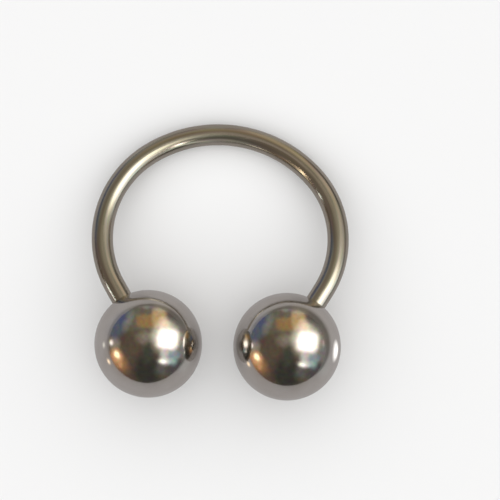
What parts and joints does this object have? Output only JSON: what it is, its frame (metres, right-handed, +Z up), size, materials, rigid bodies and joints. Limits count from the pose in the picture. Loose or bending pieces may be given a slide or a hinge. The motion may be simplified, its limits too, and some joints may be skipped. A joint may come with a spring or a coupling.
{
  "type": "horseshoe septum ring",
  "caption": "Horseshoe septum ring of round steel bar with a plain polished ball screwed on each end, lying on its balls and crown.",
  "frame": {"origin": "on the ground, under the middle of the lying ring's outer box", "axes": "+Y from the balls towards the crown of the bar, +Z up from the ground, +X towards the right-hand ball seen from above"},
  "size_m": [0.0192, 0.0206, 0.008],
  "materials": {
    "bar_steel": "polished steel with fine drawing marks along it and a faint warm tarnish",
    "ball_steel": "mirror-polished steel with fine handling scratches"
  },
  "bodies": {
    "bar": {"bar": "bar_steel"},
    "ball_left": {"ball_left": "ball_steel"},
    "ball_right": {"ball_right": "ball_steel"}
  },
  "joints": [
    {"name": "left_ball_unscrews", "type": "slide", "parent": "bar", "child": "ball_left", "axis": [0.5208, -0.8367, 0.1695], "range_m": [0, 0.002]},
    {"name": "right_ball_unscrews", "type": "slide", "parent": "bar", "child": "ball_right", "axis": [-0.5271, -0.8329, 0.1687], "range_m": [0, 0.002]}
  ]
}
